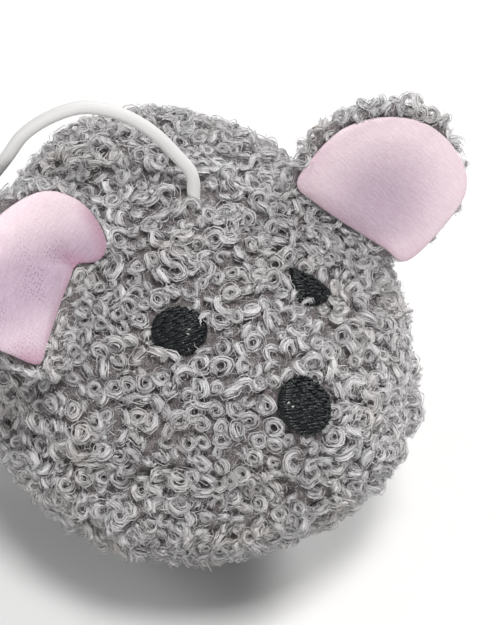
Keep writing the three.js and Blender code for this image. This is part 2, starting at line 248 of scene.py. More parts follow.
# Elastic cord
CORD_DIAMETER = 2 * MM
CORD_ROOT = 2.2 * MM
CORD_STEPS = 3
CORD_SIDES = 16
BRAID_PITCH = 0.9 * MM
BRAID_STRANDS = 4
COIL_CENTRE = Vector((-38.1, 115, 0)) * MM
COIL_RADIUS = 15 * MM
COIL_HEIGHT = 1.9 * MM
LOOPS_PER_LAYER = 2
LOOP_PITCH = 2.55 * MM
CLIMB_TURNS = 0.5
STEPS_PER_LOOP = 24
ARC_ROUTE = [
    (26.2, 57.1, 69.75), (25.7, 57.4, 71.8), (23.9, 58.1, 74.6), (21.3, 59.1, 78.3), (18.6, 60.1, 81),
    (15.7, 61.3, 82.9), (11.9, 62.8, 84.1), (8.6, 64.1, 83.6), (5.3, 65.5, 81.9), (2.7, 66.5, 79.7),
    (0.7, 67.3, 76.6), (-1.9, 68.9, 72.4), (-5.9, 71.2, 66.8), (-12.5, 74.8, 59.4), (-17.9, 78.1, 49.8),
    (-21.3, 81.3, 39.2), (-22.9, 84.6, 28.6), (-23.3, 88.6, 18.6), (-23.3, 93.2, 10), (-23.2, 98.2, 4.6),
    (-23.1, 103.2, 2.4), (-23.1, 108.3, 1.9), (-23.1, 110.9, 1.9), (-23.1, 112.7, 1.9),
]
LEAD_ROUTE = [
    (-23.1, 117.3, 4.45), (-23.1, 119.4, 4.4), (-23.2, 126, 3.6), (-23.4, 134, 2.1), (-23.9, 143, 1.3),
    (-24.7, 154, 1.15), (-25.9, 167, 1.15), (-27.7, 180, 1.15), (-30.4, 193, 1.15), (-34.6, 205, 1.15),
    (-40.4, 214.4, 1.15), (-47.2, 220, 1.2), (-53.4, 221.4, 1.5), (-58.4, 219, 2.4), (-61.4, 214.4, 3.9),
    (-62.4, 210, 5.4), (-62.5, 207.2, 5.9), (-62.5, 205.9, 5.9),
]

# Camera, at the photograph's angle
CAMERA_AIM = Vector((36.765, 58.493, 39.91)) * MM
CAMERA_DISTANCE = 348.39 * MM
CAMERA_TURN = -29.168
CAMERA_LIFT = 37.456
LENS = 124.13

# The floor, which goes over into plain white away from the mouse, and the lamps: place, size, power, colour
FLOOR_SIZE = 6
FLOOR_FADE = (0.1, 0.3)
WHITE = (1, 1, 1, 1)
LAMP_AIM = MOUSE_PLACE + Vector((0, 0, 35 * MM))
LAMPS = {
    "key": ((-0.09, -0.5, 1.2), 0.3, 10.3, (1, 0.99, 0.98)),
    "front": ((-0.47, -1.235, 0.23), 0.4, 6.4, (1, 0.995, 0.99)),
    "right": ((1.1, 0.4, 0.83), 0.4, 11, (1, 0.99, 0.98)),
    "left": ((-0.95, 0.75, 0.75), 0.5, 4.6, (0.98, 0.99, 1)),
}


def both_ways(operation):
    """An operator on two values, which adds a Math node, and its reflected form."""
    def forward(self, other):
        return self.maker.math(operation, self, other)

    def reflected(self, other):
        return self.maker.math(operation, other, self)

    return forward, reflected


class Value:
    """A socket of a node tree that takes part in sums."""

    __add__, __radd__ = both_ways("ADD")
    __sub__, __rsub__ = both_ways("SUBTRACT")
    __mul__, __rmul__ = both_ways("MULTIPLY")
    __truediv__, __rtruediv__ = both_ways("DIVIDE")
    __pow__, __rpow__ = both_ways("POWER")

    def __init__(self, maker, socket):
        self.maker = maker
        self.socket = socket

    def output(self, name):
        """Another output of the same node."""
        outputs = self.socket.node.outputs
        return Value(self.maker, next(s for s in outputs if s.name == name and s.enabled))


class Maker:
    """Adds nodes to a tree, which may be a material's, by type, settings and socket values."""

    def __init__(self, tree, material=None):
        self.tree = tree
        self.material = material

    def add(self, kind, settings=None, inputs=None):
        node = self.tree.nodes.new(kind)
        for name, value in (settings or {}).items():
            if name == "stops":
                self.set_stops(node.color_ramp, value)
            else:
                setattr(node, name, value)
        for key, value in (inputs or {}).items():
            self.feed(self.find(node, key), value)
        shown = [s for s in node.outputs if s.enabled]
        return Value(self, shown[0]) if shown else node

    def find(self, node, key):
        if isinstance(key, int):
            return node.inputs[key]
        return next(s for s in node.inputs if s.name == key and s.enabled)

    def feed(self, socket, value):
        if isinstance(value, Value):
            self.tree.links.new(value.socket, socket)
        elif isinstance(value, list):
            for each in value:
                self.tree.links.new(each.socket, socket)
        else:
            socket.default_value = value

    def set_stops(self, ramp, stops):
        while len(ramp.elements) < len(stops):
            ramp.elements.new(1)
        for element, (position, colour) in zip(ramp.elements, stops):
            element.position = position
            element.color = (*colour, 1)

    def math(self, operation, first, second=0.0):
        return self.add("ShaderNodeMath", {"operation": operation}, {0: first, 1: second})

    def vector(self, operation, first, second=(0, 0, 0)):
        return self.add("ShaderNodeVectorMath", {"operation": operation}, {0: first, 1: second})

    def scaled(self, vector, factor):
        return self.add("ShaderNodeVectorMath", {"operation": "SCALE"}, {0: vector, "Scale": factor})

    def axes(self, x=0.0, y=0.0, z=0.0):
        """A vector put together from its three numbers."""
        return self.add("ShaderNodeCombineXYZ", {}, {"X": x, "Y": y, "Z": z})

    def split(self, vector):
        return self.add("ShaderNodeSeparateXYZ", {}, {"Vector": vector})

    def mix(self, share, first, second):
        """A colour between two others."""
        inputs = {"Factor": share, "A": first, "B": second}
        return self.add("ShaderNodeMix", {"data_type": "RGBA"}, inputs)

    def ramp(self, share, stops):
        return self.add("ShaderNodeValToRGB", {"stops": stops}, {"Fac": share})

    def range(self, value, low, high):
        """A smooth step from 0 at low to 1 at high."""
        inputs = {"Value": value, "From Min": low, "From Max": high}
        return self.add("ShaderNodeMapRange", {"interpolation_type": "SMOOTHSTEP"}, inputs)

    def noise(self, place, scale, detail=2.0, rough=0.5, bent=0.0):
        inputs = {"Vector": place, "Scale": scale, "Detail": detail, "Roughness": rough, "Distortion": bent}
        return self.add("ShaderNodeTexNoise", {}, inputs)

    def stretched(self, place, scale):
        """A place with each axis multiplied."""
        return self.add("ShaderNodeMapping", {}, {"Vector": place, "Scale": scale})

    def place(self):
        """The point in the piece's own coordinates."""
        return self.add("ShaderNodeTexCoord").output("Object")

    def attribute(self, name, output="Fac"):
        return self.add("ShaderNodeAttribute", {"attribute_name": name}).output(output)

    def bump(self, height, strength, distance):
        inputs = {"Height": height, "Strength": strength, "Distance": distance}
        return self.add("ShaderNodeBump", {}, inputs)

    def surface(self, inputs):
        """The material, with these values on its shader's own sockets."""
        return self.shown(self.add("ShaderNodeBsdfPrincipled", {}, inputs))

    def shown(self, shader):
        self.add("ShaderNodeOutputMaterial", {}, {"Surface": shader})
        return self.material


def new_material(name):
    """A maker for the nodes of a new material."""
    material = bpy.data.materials.new(name)
    material.use_nodes = True
    material.node_tree.nodes.clear()
    return Maker(material.node_tree, material)


# Materials


def yarn_material():
    """Curly fibre: streaks run along the yarn, each curl has its own tone, and patches are warmer."""
    make = new_material("curly_yarn")
    flat = make.split(make.attribute("across", "Vector"))
    along = make.attribute("along")
    tone = make.attribute("tone")
    lift = make.attribute("lift")
    fibre = make.axes(flat.output("X"), flat.output("Y"), along * 0.25 + tone * 20)
    streak = make.noise(fibre, 4200.0, 3.0, 0.7)
    frizz = make.noise(make.place(), 5200.0, 2.0, 0.6)
    patch = make.noise(make.place(), 110.0, 2.0)
    share = make.range(streak * 0.8 + frizz * 1.4 + tone * 0.3 + lift * 0.45, 0.72, 1.88)
    cool = make.ramp(share, [
        (0, (0.3, 0.27, 0.285)),
        (0.5, (0.61, 0.59, 0.61)),
        (1, (0.84, 0.835, 0.845)),
    ])
    warm = make.ramp(share, [
        (0, (0.31, 0.265, 0.26)),
        (0.5, (0.64, 0.6, 0.585)),
        (1, (0.85, 0.83, 0.805)),
    ])
    return make.surface({
        "Base Color": make.mix(make.range(patch, 0.42, 0.78), cool, warm),
        "Roughness": 0.55 - streak * 0.35,
        "Normal": make.bump(streak + frizz, 0.7, 0.25 * MM),
        "Sheen Weight": 0.5,
        "Sheen Roughness": 0.4,
        "Specular IOR Level": 0.5,
    })


def backing_material():
    """Knitted ground of the pile cloth, seen between the curls: dark, partly its own colour and partly
    painted shade between them.
    """
    make = new_material("pile_ground")
    fluff = make.noise(make.place(), 2600.0, 4.0, 0.75, 2.0)
    colour = make.ramp(fluff, [
        (0.38, (0.1, 0.075, 0.078)),
        (0.5, (0.32, 0.27, 0.275)),
        (0.62, (0.7, 0.66, 0.67)),
    ])
    return make.surface({
        "Base Color": colour,
        "Roughness": 0.95,
        "Normal": make.bump(fluff, 1.0, 0.6 * MM),
        "Sheen Weight": 0.2,
    })


def jersey_material():
    """Fine ribbed pink knit, with painted shade in the ear's hollow, redder painted shade in its folds, and
    open between stitches.
    """
    make = new_material("jersey")
    place = make.add("ShaderNodeUVMap", {"uv_map": "knit"})
    wale = make.stretched(place, (1 / (0.68 * MM), 1 / (0.56 * MM), 1))
    cells = make.add("ShaderNodeTexVoronoi", {"voronoi_dimensions": "2D"},
                     {"Vector": wale, "Scale": 1.0, "Randomness": 0.6})
    stitch = make.range(cells, 0.05, 0.6)
    shade = make.attribute("shade")
    patch = make.noise(make.place(), 180.0, 2.0)
    hole = (1 - make.range(cells, 0.05, 0.34)) * make.range(patch, 0.38, 0.6)
    rib = make.range(make.noise(make.stretched(place, (0.2, 1, 1)), 2600.0, 2.0), 0.3, 0.7)
    fluff = make.noise(make.place(), 1500.0, 3.0)
    grain = stitch * 0.25 + fluff * 0.25 + rib * 0.4
    bright = make.mix(grain, (0.98, 0.83, 0.89, 1), (0.88, 0.67, 0.75, 1))
    # The darker copy of the pink is painted shade for the ear's hollow and band, mixed in by the shade
    # mark.
    shaded_pink = make.mix(grain, (0.6, 0.465, 0.57, 1), (0.45, 0.33, 0.43, 1))
    cloth = make.mix(shade, bright, shaded_pink)
    # Painted shade, redder, along the rolled edges and in the tuck.
    fold_shaded_cloth = make.mix(make.attribute("fold") * 0.8, cloth, (0.52, 0.27, 0.38, 1))
    colour = make.mix(hole * make.attribute("open"), fold_shaded_cloth, (0.25, 0.16, 0.23, 1))
    return make.surface({
        "Base Color": colour,
        "Roughness": 0.85,
        "Normal": make.bump(stitch * -0.7 + fluff * 0.4, 0.35, 0.12 * MM),
        "Sheen Weight": 0.4,
        "Sheen Roughness": 0.5,
    })


def thread_material():
    """Near-black embroidery thread with a slight gloss."""
    make = new_material("embroidery_thread")
    flat = make.split(make.attribute("across", "Vector"))
    along = make.attribute("along")
    twist = make.axes(flat.output("X") + along * 0.5, flat.output("Y"), along * 0.3)
    ply = make.noise(twist, 6000.0, 2.0)
    colour = make.ramp(ply, [(0.3, (0.003, 0.0045, 0.005)), (0.75, (0.012, 0.016, 0.018))])
    return make.surface({
        "Base Color": colour,
        "Roughness": 0.17 - ply * 0.12,
        "Normal": make.bump(ply, 1.0, 0.1 * MM),
        "Specular IOR Level": 0.25,
    })


def elastic_material():
    """White braided cover of the round elastic."""
    make = new_material("elastic")
    braid = make.attribute("along") / BRAID_PITCH
    turn = make.attribute("turn") * BRAID_STRANDS
    right = make.math("SINE", (braid + turn) * math.tau)
    left = make.math("SINE", (braid - turn) * math.tau)
    weave = right * left * 0.5 + 0.5
    fluff = make.noise(make.place(), 2500.0, 2.0)
    colour = make.mix(weave * 0.6 + fluff * 0.4, (0.75, 0.745, 0.735, 1), (0.82, 0.815, 0.805, 1))
    return make.surface({
        "Base Color": colour,
        "Roughness": 0.62 + fluff * 0.15,
        "Normal": make.bump(weave, 0.06, 0.06 * MM),
        "Sheen Weight": 0.15,
    })


def wood_material():
    """Sanded pale hardwood with its grain along the rod."""
    make = new_material("dowel_wood")
    grain = make.noise(make.stretched(make.place(), (1, 0.03, 1)), 900.0, 4.0, 0.6)
    fleck = make.noise(make.stretched(make.place(), (1, 0.12, 1)), 2600.0, 2.0)
    share = grain * 0.75 + fleck * 0.25
    colour = make.ramp(share, [
        (0.3, (0.5, 0.32, 0.16)),
        (0.5, (0.68, 0.48, 0.27)),
        (0.7, (0.76, 0.57, 0.35)),
    ])
    return make.surface({
        "Base Color": colour,
        "Roughness": 0.48 + fleck * 0.2,
        "Normal": make.bump(share, 0.2, 0.1 * MM),
    })


def plastic_material():
    """White moulded plastic with a fine spark texture."""
    make = new_material("cap_plastic")
    grain = make.noise(make.place(), 3500.0, 2.0)
    cloud = make.noise(make.place(), 120.0, 2.0)
    return make.surface({
        "Base Color": make.mix(cloud, (0.84, 0.835, 0.82, 1), (0.88, 0.875, 0.865, 1)),
        "Roughness": 0.38 + grain * 0.14,
        "Normal": make.bump(grain, 0.08, 0.05 * MM),
    })


def wadding_material():
    """Loose white filling fibre."""
    make = new_material("wadding")
    fluff = make.noise(make.place(), 700.0, 4.0, 0.7)
    return make.surface({
        "Base Color": make.mix(fluff, (0.78, 0.77, 0.73, 1), (0.92, 0.91, 0.88, 1)),
        "Roughness": 0.95,
        "Normal": make.bump(fluff, 0.6, 0.6 * MM),
        "Sheen Weight": 0.3,
    })


# Meshes, pieces and lines


def add_object(name, mesh):
    made = bpy.data.objects.new(name, mesh)
    bpy.context.scene.collection.objects.link(made)
    return made


def mesh_from(name, bm):
    mesh = bpy.data.meshes.new(name)
    bm.to_mesh(mesh)
    bm.free()
    return mesh


def object_from(name, bm, material):
    mesh = mesh_from(name, bm)
    mesh.materials.append(material)
    for face in mesh.polygons:
        face.use_smooth = True
    return add_object(name, mesh)


def lines_mesh(name, lines):
    """A mesh of open lines."""
    points, edges = [], []
    for line in lines:
        edges += [(len(points) + i, len(points) + i + 1) for i in range(len(line) - 1)]
        points += line
    mesh = bpy.data.meshes.new(name)
    mesh.from_pydata(points, edges, [])
    return mesh


def finish_piece(piece, body, nodes):
    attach(piece, body)
    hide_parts(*nodes)
    return piece


def dress(nodes, material):
    """Gives a material to CAD nodes that stay."""
    for name in nodes:
        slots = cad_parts[name].data.materials
        slots.clear()
        slots.append(material)


def step_between(value, low, high):
    """A smooth step from 0 at low to 1 at high, which may be the lesser."""
    share = max(0, min(1, (value - low) / (high - low)))
    return share * share * (3 - 2 * share)


def smooth_route(points, steps):
    """Points close together on a smooth curve through the given ones."""
    path = []
    last = len(points) - 1
    for i in range(last):
        before, here, there, after = (points[max(0, min(last, i + k))] for k in (-1, 0, 1, 2))
        for step in range(steps):
            t = step / steps
            path.append(0.5 * (
                2 * here
                + (there - before) * t
                + (2 * before - 5 * here + 4 * there - after) * t * t
                + (3 * here - before - 3 * there + after) * t * t * t
            ))
    return path + [points[last]]


# Geometry trees


def new_tree(name, inputs):
    """A geometry tree with these named inputs, a Geometry and a Material, and a way to read them."""
    tree = bpy.data.node_groups.new(name, "GeometryNodeTree")
    tree.interface.new_socket("Geometry", in_out="OUTPUT", socket_type="NodeSocketGeometry")
    for key, kind in ({"Geometry": "Geometry"} | inputs | {"Material": "Material"}).items():
        tree.interface.new_socket(key, in_out="INPUT", socket_type="NodeSocket" + kind)
    make = Maker(tree)
    return tree, make, make.add("NodeGroupInput")


def end_tree(make, shape, material):
    """Ends a tree: everything is made real, smooth and of one material."""
    smooth = make.add("GeometryNodeSetShadeSmooth", {}, {"Geometry": made_real(make, shape)})
    finished = make.add("GeometryNodeSetMaterial", {}, {"Geometry": smooth, "Material": material})
    make.add("NodeGroupOutput", {}, {"Geometry": finished})


def grow(name, mesh, tree, settings):
    """What the tree makes of a mesh, as an object with a plain mesh."""
    made = add_object(name, mesh)
    modifier = made.modifiers.new("grow", "NODES")
    modifier.node_group = tree
    for socket in tree.interface.items_tree:
        if socket.in_out == "INPUT" and socket.name in settings:
            modifier[socket.identifier] = settings[socket.name]
    depsgraph = bpy.context.evaluated_depsgraph_get()
    plain = bpy.data.meshes.new_from_object(made.evaluated_get(depsgraph))
    made.modifiers.remove(modifier)
    made.data = plain
    plain.name = name
    return made


def made_real(make, shape):
    return make.add("GeometryNodeRealizeInstances", {}, {"Geometry": shape})


def joined(make, parts):
    return make.add("GeometryNodeJoinGeometry", {}, {"Geometry": parts})


def shifted(make, shape, offset):
    return make.add("GeometryNodeSetPosition", {}, {"Geometry": shape, "Offset": offset})


def marked(make, shape, name, value, kind="FLOAT", domain="POINT"):
    """The shape with a value kept on it under a name."""
    settings = {"data_type": kind, "domain": domain}
    inputs = {"Geometry": shape, "Name": name, "Value": value}
    return make.add("GeometryNodeStoreNamedAttribute", settings, inputs)


def round_profile(make, sides, radius):
    return make.add("GeometryNodeCurvePrimitiveCircle", {}, {"Resolution": sides, "Radius": radius})


def tube_along(make, curve, profile, taper=1.0):
    """A closed tube along a curve, which keeps how far along it each point is."""
    length = make.add("GeometryNodeSplineParameter").output("Length")
    inputs = {
        "Curve": marked(make, curve, "along", length),
        "Profile Curve": profile,
        "Scale": taper,
        "Fill Caps": True,
    }
    return make.add("GeometryNodeCurveToMesh", {}, inputs)


def yarn_tube(make, curve, radius, sides, taper):
    """A tube that also keeps where each point is across the yarn."""
    circle = round_profile(make, sides, radius)
    place = make.add("GeometryNodeInputPosition")
    return tube_along(make, curve, marked(make, circle, "across", place, "FLOAT_VECTOR"), taper)


def pointed(make, sharp):
    """Thickness along a thread, drawn to a point at both ends."""
    share = make.add("GeometryNodeSplineParameter")
    return make.math("MINIMUM", share * (1 - share) * sharp, 1.0) ** 0.5


def closed_points(make, shape):
    """The shape with the rings at its pointed ends drawn into one point."""
    return make.add("GeometryNodeMergeByDistance", {}, {"Geometry": shape, "Distance": CLOSED_WITHIN})


def winding(make, sizes, steps, curl):
    """A curl's middle line."""
    rotations, start, end, rise = curl
    radius = sizes.output("Curl Radius")
    spiral = make.add("GeometryNodeCurveSpiral", {}, {
        "Resolution": math.ceil(steps / rotations),
        "Rotations": rotations,
        "Start Radius": radius * start,
        "End Radius": radius * end,
        "Height": radius * rise,
    })
    return shifted(make, spiral, make.axes(z=radius * (-rise / 2)))


def strand_line(make, sizes, line, angle, spread):
    """A line that winds about a curl's middle line, at a spread in yarn radii."""
    flat = make.vector("MULTIPLY", make.add("GeometryNodeInputPosition"), (1, 1, 0))
    turn = make.add("GeometryNodeSplineParameter") * (STRAND_TWIST * math.tau) + angle
    reach = sizes.output("Yarn Radius") * spread
    aside = make.scaled(make.vector("NORMALIZE", flat), reach * make.math("COSINE", turn))
    upwards = make.axes(z=reach * make.math("SINE", turn))
    return shifted(make, line, make.vector("ADD", aside, upwards))


def curl(make, sizes, shape):
    """One curl: a soft core, strands that wind about it, and finer ones that have come loose."""
    line = winding(make, sizes, CURL_STEPS, shape)
    radius = sizes.output("Yarn Radius") * CORE_SIZE
    core = yarn_tube(make, line, radius, YARN_SIDES, pointed(make, CORE_POINT))
    # The core's lower lift is painted shade inside the curl.
    parts = [marked(make, core, "lift", CORE_LIFT)]
    for strand in range(CLOSE_STRANDS + LOOSE_STRANDS):
        loose = max(0, strand - CLOSE_STRANDS + 1)
        spread = STRAND_SPREAD + STRAND_WIDER * strand + LOOSE_WIDER * loose
        longer = (shape[0] + STRAND_LONGER * (strand % STRAND_LENGTHS), *shape[1:])
        middle = winding(make, sizes, CURL_STEPS, longer)
        line = strand_line(make, sizes, middle, STRAND_ANGLE * strand, spread)
        radius = sizes.output("Fibre Radius" if loose else "Strand Radius")
        tube = yarn_tube(make, line, radius, YARN_SIDES, pointed(make, STRAND_POINT))
        lift = STRAND_LIFT + STRAND_LIFT_MORE * (STRAND_LIFT_STEP * strand % 1)
        parts.append(marked(make, tube, "lift", lift))
    return closed_points(make, joined(make, parts))


def loose_fibre(make, sizes, shape, lift):
    line = winding(make, sizes, FIBRE_STEPS, shape)
    tube = yarn_tube(make, line, sizes.output("Fibre Radius"), YARN_SIDES, pointed(make, FIBRE_POINT))
    return closed_points(make, marked(make, tube, "lift", lift))


def unsettled(make, shape, amount, scale):
    """The shape with its points moved about, so that no two curls are alike."""
    drift = make.noise(make.add("GeometryNodeInputPosition"), scale, 1.0).output("Color")
    centred = make.vector("SUBTRACT", drift, (0.5, 0.5, 0.5))
    return shifted(make, shape, make.scaled(centred, amount))


def random_between(make, kind, low, high, seed):
    inputs = {"Min": low, "Max": high, "Seed": seed}
    return make.add("FunctionNodeRandomValue", {"data_type": kind}, inputs)


def strewn(make, points, shapes, tilt, size_range, seed):
    """The shapes put on points, each turned about the cloth's normal, tilted and sized at random."""
    turn = random_between(make, "FLOAT_VECTOR", (-tilt, -tilt, -math.pi), (tilt, tilt, math.pi), seed)
    rotation = make.add("FunctionNodeRotateRotation", {"rotation_space": "LOCAL"}, {
        "Rotation": points.output("Rotation"),
        "Rotate By": make.add("FunctionNodeEulerToRotation", {}, {"Euler": turn}),
    })
    apart = [make.add("GeometryNodeGeometryToInstance", {}, {"Geometry": shape}) for shape in shapes]
    put = make.add("GeometryNodeInstanceOnPoints", {}, {
        "Points": points,
        "Instance": joined(make, apart),
        "Pick Instance": True,
        "Instance Index": random_between(make, "INT", 0, len(shapes) - 1, seed + 1),
        "Rotation": rotation,
        "Scale": random_between(make, "FLOAT", *size_range, seed + 2),
    })
    tone = random_between(make, "FLOAT", 0.0, 1.0, seed + 3)
    return marked(make, put, "tone", tone, domain="INSTANCE")


def fibres_on(make, sizes, shape, density, lift, seed):
    """Loose fibres strewn over a shape, paler with more lift."""
    inputs = {"Mesh": shape, "Density": density, "Seed": seed}
    roots = make.add("GeometryNodeDistributePointsOnFaces", {"distribute_method": "RANDOM"}, inputs)
    shapes = [loose_fibre(make, sizes, fibre, lift) for fibre in FIBRE_SHAPES]
    return strewn(make, roots, shapes, FIBRE_TILT, FIBRE_SIZES, seed + 1)


def above_floor(make, shape):
    """The shape with what would reach below the floor pressed up to it."""
    place = make.split(make.add("GeometryNodeInputPosition"))
    height = make.math("MAXIMUM", place.output("Z"), FLOOR_GAP)
    there = make.axes(place.output("X"), place.output("Y"), height)
    return make.add("GeometryNodeSetPosition", {}, {"Geometry": shape, "Position": there})


def pile_tree():
    """Curls of yarn standing close together on cloth, with loose fibres on and between them."""
    inputs = {key: "Float" for key in PILE_SETTINGS} | {"Seed": "Int"}
    tree, make, sizes = new_tree("looped_pile", inputs)
    seed = sizes.output("Seed")
    cloth = sizes.output("Geometry")
    there = make.add("GeometryNodeInputNamedAttribute", {"data_type": "FLOAT"}, {"Name": "pile"})
    spacing = sizes.output("Spacing")
    points = make.add("GeometryNodeDistributePointsOnFaces", {"distribute_method": "POISSON"}, {
        "Mesh": cloth,
        "Distance Min": spacing,
        "Density Max": CURL_TRIES / (spacing * spacing),
        "Density Factor": there,
        "Seed": seed,
    })
    shapes = [curl(make, sizes, shape) for shape in CURL_SHAPES]
    put = made_real(make, strewn(make, points, shapes, CURL_TILT, CURL_SIZES, seed))
    bent = unsettled(make, put, sizes.output("Curl Radius") * CURL_BEND, CURL_BEND_SCALE)
    curls = unsettled(make, bent, sizes.output("Yarn Radius") * YARN_RUFFLE, YARN_RUFFLE_SCALE)
    on_curls = fibres_on(make, sizes, curls, sizes.output("Curl Fibres"), CURL_FIBRE_LIFT, seed + 10)
    density = sizes.output("Ground Fibres") * there
    on_ground = fibres_on(make, sizes, cloth, density, GROUND_FIBRE_LIFT, seed + 20)
    whole = made_real(make, joined(make, [curls, on_curls, on_ground]))
    end_tree(make, above_floor(make, whole), sizes.output("Material"))
    return tree


# Body


def taper_middle(taper):
    """Where a tapered egg is widest, from -1 at its front to 1 at its back."""
    return (1 - math.sqrt(1 + 8 * taper * taper)) / (4 * taper)


def taper_share(taper, along):
    """A tapered egg's width at a place along it, against that of a ball that is as wide as it."""
    middle = taper_middle(taper)
    return (1 - taper * along) / (math.sqrt(1 - middle * middle) * (1 - taper * middle))


HALF_HEIGHT = (BODY_HEIGHT + REST_DEPTH) / 2
BODY_MIDDLE = HALF_HEIGHT - REST_DEPTH - BODY_RISE * taper_middle(HEIGHT_TAPER) * BODY_LENGTH / 2


def muzzle(x, z, along):
    """How far the muzzle comes forward round the nose."""
    lift = math.radians(NOSE_LIFT)
    height = BODY_MIDDLE + HALF_HEIGHT * math.sin(lift) * taper_share(HEIGHT_TAPER, -math.cos(lift))
    away = math.hypot(x, z - height) / MUZZLE_SPREAD
    return MUZZLE_REACH * max(0, -along) * math.exp(-away * away / 2)


def body_point(unit, depth=0.0):
    """The body's point for a direction out of its middle, at a depth below the pile's outer surface."""
    x = (BODY_WIDTH / 2 - depth) * unit.x * taper_share(WIDTH_TAPER, unit.y)
    y = (BODY_LENGTH / 2 - depth) * unit.y
    z = BODY_MIDDLE + BODY_RISE * y + (HALF_HEIGHT - depth) * unit.z * taper_share(HEIGHT_TAPER, unit.y)
    return MOUSE_PLACE + Vector((x, y - muzzle(x, z, unit.y), z))


def body_depth(point):
    """Roughly how deep a point lies inside the body's outer surface, less than 0 outside it."""
    local = point - MOUSE_PLACE
    along = local.y / (BODY_LENGTH / 2)
    across = local.x / (BODY_WIDTH / 2 * taper_share(WIDTH_TAPER, along))
    up = (local.z - BODY_MIDDLE - BODY_RISE * local.y) / (HALF_HEIGHT * taper_share(HEIGHT_TAPER, along))
    return (1 - Vector((across, along, up)).length) * BODY_WIDTH / 2


def direction(turn, lift):
    """The unit vector at a turn from the front and a lift from level, in degrees."""
    turn, lift = math.radians(turn), math.radians(lift)
    return Vector((math.sin(turn) * math.cos(lift), -math.cos(turn) * math.cos(lift), math.sin(lift)))


def body_normal(unit):
    """The direction straight out of the body's surface."""
    east = Vector((0, 1, 0)).cross(unit).normalized()
    north = unit.cross(east)
    step = 0.001
    steps = []
    for way in (east, north):
        ahead = (unit + way * step).normalized()
        behind = (unit - way * step).normalized()
        steps.append(body_point(ahead) - body_point(behind))
    return steps[0].cross(steps[1]).normalized()


def pad_matrix(turn, lift):
    """A frame on the body's surface: across, up along the surface, and out."""
    unit = direction(turn, lift)
    out = body_normal(unit)
    across = Vector((0, 0, 1)).cross(out).normalized()
    upwards = out.cross(across)
    matrix = Matrix((across, upwards, out)).transposed().to_4x4()
    matrix.translation = body_point(unit)
    return matrix


PADS = {
    "eye_left": (EYE_WIDTH, EYE_HEIGHT, pad_matrix(EYE_TURN, EYE_LIFT) @ Matrix.Translation(PAD_SHIFT)),
    "eye_right": (EYE_WIDTH, EYE_HEIGHT, pad_matrix(-EYE_TURN, EYE_LIFT)),
    "nose": (NOSE_WIDTH, NOSE_HEIGHT, pad_matrix(0, NOSE_LIFT)),
}


def ball_grid(cuts):
    """A unit ball of even squares."""
    bm = bmesh.new()
    bmesh.ops.create_cube(bm, size=2)
    bmesh.ops.subdivide_edges(bm, edges=bm.edges, cuts=cuts, use_grid_fill=True)
    for vert in bm.verts:
        vert.co.normalize()
    return bm


def swell(bm, held, pressure, give):
    """Moves a closed mesh's free points as stuffing moves cloth, none by more than the cloth gives."""
    mesh = bpy.data.meshes.new("stuffed_cloth")
    bm.verts.index_update()
    bm.to_mesh(mesh)
    mesh.transform(Matrix.Scale(STUFFING_SCALE, 4))
    cloth = add_object("stuffed_cloth", mesh)
    cloth.vertex_groups.new(name="held").add([vert.index for vert in held], 1, "REPLACE")
    stuffing = cloth.modifiers.new("stuffing", "CLOTH")
    stuffing.settings.vertex_group_mass = "held"
    stuffing.settings.use_pressure = True
    stuffing.settings.uniform_pressure_force = pressure
    stuffing.settings.effector_weights.gravity = 0
    stuffing.collision_settings.use_collision = False
    scene = bpy.context.scene
    for step in range(1, STUFFING_FRAMES + 1):
        scene.frame_set(step)
    shaped = cloth.evaluated_get(bpy.context.evaluated_depsgraph_get()).to_mesh()
    for vert, point in zip(bm.verts, shaped.vertices):
        move = point.co / STUFFING_SCALE - vert.co
        vert.co += move * min(1, give / max(move.length, give / 1000))
    scene.frame_set(1)
    bpy.data.objects.remove(cloth)
    bpy.data.meshes.remove(mesh)


def clear_place(name, flat):
    """A point of a pad, along and across the oval that is kept clear of pile."""
    right, up, _, _, tilt = PAD_CLEAR[name]
    cosine, sine = math.cos(math.radians(tilt)), math.sin(math.radians(tilt))
    x, y = flat.x - right * MM, flat.y - up * MM
    return x * cosine + y * sine, y * cosine - x * sine


def pile_there(point):
    """How much pile the cloth carries: none under the embroidery or where the cord goes in."""
    for name, (width, height, matrix) in PADS.items():
        local = matrix.inverted() @ point
        wider, taller = PAD_CLEAR[name][2:4]
        along, aside = clear_place(name, local)
        away = math.hypot(2 * along / (width * wider), 2 * aside / (height * taller))
        if away < 1 and abs(local.z) < CLEAR_DEPTH:
            return 0.0
    entry = point - Vector(ARC_ROUTE[0]) * MM
    if entry.xy.length < CORD_DIAMETER and entry.z > -ENTRY_DEPTH:
        return 0.0
    return 1.0 if point.z > UNDERSIDE else UNDERSIDE_PILE


def draw_in_seam(bm):
    middle = MOUSE_PLACE + Vector((0, 0, BODY_MIDDLE))
    for vert in bm.verts:
        away = (vert.co.z - SEAM_HEIGHT) / SEAM_SPREAD
        vert.co += (middle - vert.co).normalized() * SEAM_PULL * math.exp(-away * away / 2)


def ground_skin():
    """The cloth's ground, below the pile: stuffed, held at its seam and drawn in along it."""
    bm = ball_grid(SKIN_CUTS)
    for vert in bm.verts:
        vert.co = body_point(vert.co.copy(), PILE_DEPTH + BODY_GIVE)
    at_seam = {vert for vert in bm.verts if abs(vert.co.z - SEAM_HEIGHT) < SEAM_SPREAD}
    bare = {vert for vert in bm.verts if pile_there(vert.co) == 0}
    swell(bm, at_seam | bare, BODY_PRESSURE, BODY_GIVE)
    bmesh.ops.subdivide_edges(bm, edges=bm.edges, cuts=1, use_grid_fill=True, smooth=1)
    draw_in_seam(bm)
    return bm


